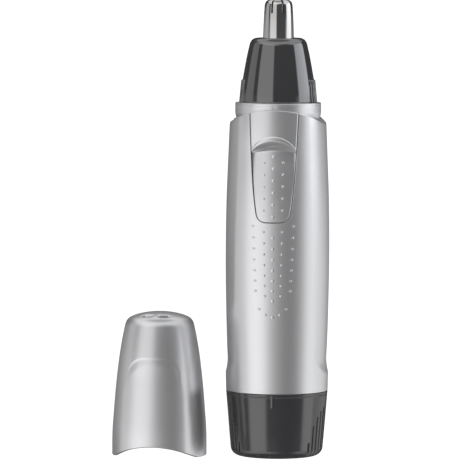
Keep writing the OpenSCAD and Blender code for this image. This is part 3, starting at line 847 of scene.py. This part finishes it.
def cap_rim(x):
    return 3.4 - 25.8 + np.sqrt(25.8 ** 2 - np.minimum(np.abs(x), 14.2) ** 2)


def cap_radius(a, z):
    r = cap_side(z)
    c = np.cos(np.radians(a))
    s = np.sin(np.radians(a))
    t = tongue(np.minimum(z, 36)) + 1.94
    flat = -1.94 * np.abs(c) + np.sqrt(t ** 2 - (1.94 * s) ** 2)
    flat = flat + np.maximum(0, z - 27.5) ** 2 * 0.03
    r = soft_min(r, flat, 0.06)
    # the panel's outline: straight sides that lean in and a rounded top
    x = np.abs(r * s)
    wide = 9.75 - 0.066 * np.minimum(z, 29.7)
    dx, dz = x - (wide - 5.2), z - (29.7 - 5.2)
    edge = np.where((dx > 0) & (dz > 0), 5.2 - np.hypot(np.maximum(dx, 0), np.maximum(dz, 0)),
                    np.minimum(wide - x, 29.7 - z))
    q = np.clip(edge / 0.6, 0, 1)
    return r - 0.11 * q * q * (3 - 2 * q) * np.clip((z - 21) / 6, 0, 1)


def make_cap():
    A = np.linspace(-180, 180, 361)[:-1]
    s = np.sin(np.radians(A))
    start = np.zeros(len(A))
    for _ in range(8):
        start = np.maximum(cap_rim(cap_radius(A, start) * s), 0.0)
    F = 0.34
    rings = []
    for k in range(0, 7):
        u = F * (1 - math.cos(math.radians(15 * k)))   # height above the rim
        out = F * math.sin(math.radians(15 * k))
        z = start + u
        rings.append(polar(cap_radius(A, z) - F + out, A, z))
    share = np.concatenate([np.linspace(0.006, 1, 130)])
    for t in share:
        z = start + F + (38.3 - start - F) * t
        rings.append(polar(cap_radius(A, z), A, z))
    for r, z in DOME[1:]:
        rings.append(polar(r, A, z))
    v1, f1 = tube(rings, pole1=[[0, 0, 42.6]])
    inner = []
    for t in np.linspace(0, 1, 50):
        z = start + (38.3 - start) * t
        inner.append(polar(np.minimum(cap_side(z) - 1.2, 12.8), A, z))
    for r, z in ((8.88, 39.15), (8.55, 39.8), (8.1, 40.15), (7.4, 40.45), (6.0, 40.7),
                 (4.5, 40.95), (2.45, 41.25), (0.9, 41.37)):
        inner.append(polar(r, A, z))
    v2, f2 = tube(inner, pole1=[[0, 0, 41.4]])
    n, n0 = len(A), len(v1)
    faces = f1 + [[i + n0 for i in q] for q in f2]
    faces += [[i, (i + 1) % n, n0 + (i + 1) % n, n0 + i] for i in range(n)]
    return build("visual_protective_cap", np.vstack([v1, v2]), faces)


def vent(angle):
    """Round-ended slot through the dome, dished at the top."""
    rings = []
    base = []
    for a in np.linspace(-90, 90, 13):
        base.append((0.95 + math.cos(math.radians(a)), math.sin(math.radians(a))))
    for a in np.linspace(90, 270, 13):
        base.append((-0.95 + math.cos(math.radians(a)), math.sin(math.radians(a))))
    base = np.array(base)
    side = np.where(base[:, 0] > 0, 0.95, -0.95)
    unit = np.stack([base[:, 0] - side, base[:, 1]], axis=1)
    for rad, d in ((0.95, -8.0), (0.95, -0.42), (0.98, -0.28), (1.06, -0.15), (1.17, -0.05),
                   (1.32, 0.03), (1.34, 2.0)):
        x = side + unit[:, 0] * rad
        y = unit[:, 1] * rad - 6.7
        d_top = np.interp(np.hypot(x, y), [q[0] for q in DOME[::-1]], [q[1] for q in DOME[::-1]])
        z = d_top + d if d > -5 else np.full(len(x), 36.0)
        rings.append(np.stack([x, y, z], axis=1))
    v, f = tube(rings, pole0=[[0, -6.7, 36.0]], pole1=[[0, -6.7, 44.6]])
    ob = build("vent", v, f)
    ob.data.transform(Matrix.Rotation(math.radians(angle), 4, "Z"))
    return ob


cap = make_cap()
carve(cap, *[vent(f + s * 22.6) for f in (0, 180) for s in (-1, 1)])
cap.data.transform(Matrix.Translation((-34.6 * MM, -3.3 * MM, 0))
                   @ Matrix.Rotation(math.radians(-4), 4, "Z"))
finish_piece(cap, "protective_cap", "loose_cap", "silver_paint", 35)

# ------------------------------------------------------------------- studio

AZ = 5.5
ROLL = 0.233
DIST = 1.366
az = math.radians(AZ)
right = Vector((math.cos(az), math.sin(az), 0))
target = Vector((0, 0, 0.06673)) - right * 0.01407
elev = math.radians(3.90)
back = Vector((math.sin(az) * math.cos(elev), -math.cos(az) * math.cos(elev), math.sin(elev)))
cam_data = bpy.data.cameras.new("camera")
cam_data.lens = 36 * DIST / 0.1360
cam_data.sensor_width = 36
cam_data.clip_start = 0.05
cam_data.clip_end = 20
cam = bpy.data.objects.new("camera", cam_data)
bpy.context.scene.collection.objects.link(cam)
cam.location = target + back * DIST
rot = (-back).to_track_quat("-Z", "Y")
cam.rotation_mode = "QUATERNION"
cam.rotation_quaternion = rot @ Matrix.Rotation(math.radians(ROLL), 4, "Z").to_quaternion()
bpy.context.scene.camera = cam

# floor: a wide white sheet lit from behind, so it casts and takes no shadow
fm = bpy.data.materials.new("floor")
fm.use_nodes = True
fnt = fm.node_tree
fnt.nodes.clear()
fo = fnt.nodes.new("ShaderNodeOutputMaterial")
fe = add(fnt, "ShaderNodeEmission", Strength=1.15)
fn = add(fnt, "ShaderNodeTexNoise", Scale=3.0, Detail=3.0)
ftc = fnt.nodes.new("ShaderNodeTexCoord")
fnt.links.new(ftc.outputs["Object"], fn.inputs["Vector"])
fnt.links.new(colour_mix(fnt, fn.outputs[0], (0.98, 0.98, 0.98), (1.0, 1.0, 1.0)),
              fe.inputs["Color"])
fnt.links.new(fe.outputs[0], fo.inputs[0])
bm = bmesh.new()
bmesh.ops.create_grid(bm, x_segments=8, y_segments=8, size=6.0)
me = bpy.data.meshes.new("floor")
bm.to_mesh(me)
bm.free()
floor = bpy.data.objects.new("floor", me)
me.materials.append(fm)
floor.location.z = -0.00002
floor.visible_glossy = False
floor.visible_diffuse = False
floor.visible_shadow = False
bpy.context.scene.collection.objects.link(floor)

# reflection dome: soft boxes and dark cards seen only in gloss
def smooth_box(t, a, b, w):
    up = 0.5 + 0.5 * np.tanh((t - a) / w)
    down = 0.5 - 0.5 * np.tanh((t - b) / w)
    return up * down


# brightness round the set at the height of the object: a broad soft light on
# the left, a gap, and a narrower one on the right
RING = [(-180, 0.14), (-128, 0.14), (-117, 0.15), (-109, 0.34), (-101, 0.58), (-88, 0.7),
        (-79, 0.86), (-71, 1.05), (-60, 1.11), (-49, 1.08), (-40, 1.0), (-28, 1.0),
        (-20, 0.88), (-12, 0.7), (-4, 0.52), (4, 0.31), (12, 0.19), (24, 0.12), (36, 0.12),
        (44, 0.25), (51, 0.52), (58, 0.8), (66, 0.86), (73, 0.76), (82, 0.66), (92, 0.64),
        (104, 0.72), (116, 0.76), (128, 0.64), (140, 0.36), (155, 0.17), (180, 0.14)]


def rise(x, a, b):
    """0 at a, 1 at b, smooth between."""
    q = min(1.0, max(0.0, (x - a) / (b - a)))
    return q * q * (3 - 2 * q)


def studio(t, el):
    """Colour seen in gloss from azimuth t (degrees from the camera's side,
    right positive) and elevation el."""
    mid = float(np.interp(t, [k[0] for k in RING], [k[1] for k in RING]))
    # a low strip of cards for the steel tip
    tip = (0.08 + 0.35 * smooth_box(t, -145, -88, 3.0) + 0.28 * smooth_box(t, -88, -66, 2.0)
           + 0.88 * smooth_box(t, -66, -17, 3.0) + 0.95 * smooth_box(t, 56, 108, 3.0)
           + 0.15 * smooth_box(t, 108, 150, 3.0))
    right_box = 0.95 + 0.5 * min(1.0, max(0.0, (t - 66) / 45))
    high = (0.065 + 0.34 * smooth_box(t, -118, -84, 1.5) + 0.56 * smooth_box(t, -69, -17, 1.5)
            + right_box * smooth_box(t, 66, 113, 1.5))
    low = (0.08 + 0.22 * smooth_box(t, -118, -80, 3.0) + 0.97 * smooth_box(t, -70, -26, 2.5)
           + 0.95 * smooth_box(t, 64, 93, 3.0) + 0.5 * smooth_box(t, 93, 150, 4.0))
    e = mid + (tip - mid) * rise(el, -1.2, -0.2)
    e = e + (high - e) * rise(el, 2.4, 3.4)
    e = e + (low - e) * rise(el, -8, -12)
    e = e + (0.85 * mid - e) * rise(el, -18, -22)
    e = e + (0.1 - e) * rise(el, -40, -54)
    e = e + (mid - e) * rise(el, 27, 30)
    e = e + (0.75 - e) * rise(el, 34, 41)
    e = e + (0.25 - e) * rise(el, 60, 70)
    blue = smooth_box(t, 55, 116, 3.0) * rise(el, 2.4, 3.4)
    return (e * (1 - 0.03 * blue), e, e * (1 + 0.04 * blue))


NA, NE = 360, 60
verts, cols, faces = [], [], []
for j in range(NE + 1):
    el = -90 + 180 * j / NE
    for i in range(NA):
        a = 360 * i / NA - 180
        ar, er = math.radians(a), math.radians(el)
        verts.append((3.0 * math.sin(ar) * math.cos(er), -3.0 * math.cos(ar) * math.cos(er),
                      3.0 * math.sin(er)))
        t = (a - AZ + 180) % 360 - 180
        cols.append(studio(float(t), float(el)))
for j in range(NE):
    for i in range(NA):
        k = (i + 1) % NA
        faces.append((j * NA + i, (j + 1) * NA + i, (j + 1) * NA + k, j * NA + k))
me = bpy.data.meshes.new("reflection_dome")
me.from_pydata(verts, [], faces)
at = me.color_attributes.new("glow", "FLOAT_COLOR", "POINT")
flat = np.ones((len(cols), 4), dtype=np.float32)
flat[:, :3] = np.array(cols, dtype=np.float32)
at.data.foreach_set("color", flat.ravel())
dm = bpy.data.materials.new("reflection_dome")
dm.use_nodes = True
dnt = dm.node_tree
dnt.nodes.clear()
do = dnt.nodes.new("ShaderNodeOutputMaterial")
de = dnt.nodes.new("ShaderNodeEmission")
da = dnt.nodes.new("ShaderNodeAttribute")
da.attribute_name = "glow"
dnt.links.new(da.outputs["Color"], de.inputs["Color"])
dnt.links.new(de.outputs[0], do.inputs[0])
me.materials.append(dm)
dome = bpy.data.objects.new("reflection_dome", me)
dome.location.z = 0.07
bpy.context.scene.collection.objects.link(dome)
dome.visible_camera = False
dome.visible_diffuse = False
dome.visible_shadow = False
dome.visible_transmission = False
dome.visible_volume_scatter = False

world = bpy.data.worlds.new("world")
bpy.context.scene.world = world
world.use_nodes = True
bg = world.node_tree.nodes["Background"]
bg.inputs[0].default_value = (1, 1, 1, 1)
bg.inputs[1].default_value = 1.08


def area(name, loc, size, power, toward=(0, 0, 0.07)):
    d = bpy.data.lights.new(name, "AREA")
    d.shape = "RECTANGLE"
    d.size, d.size_y = size
    d.energy = power
    o = bpy.data.objects.new(name, d)
    o.location = loc
    o.rotation_mode = "QUATERNION"
    o.rotation_quaternion = (Vector(toward) - Vector(loc)).to_track_quat("-Z", "Y")
    bpy.context.scene.collection.objects.link(o)
    o.visible_camera = False
    o.visible_glossy = False
    return o


area("key", (-0.9, -1.1, 1.3), (0.8, 0.8), 9)
area("fill", (1.1, -0.7, 0.9), (0.7, 0.9), 4)

bpy.context.scene.view_settings.view_transform = "Standard"
bpy.context.scene.view_settings.look = "None"
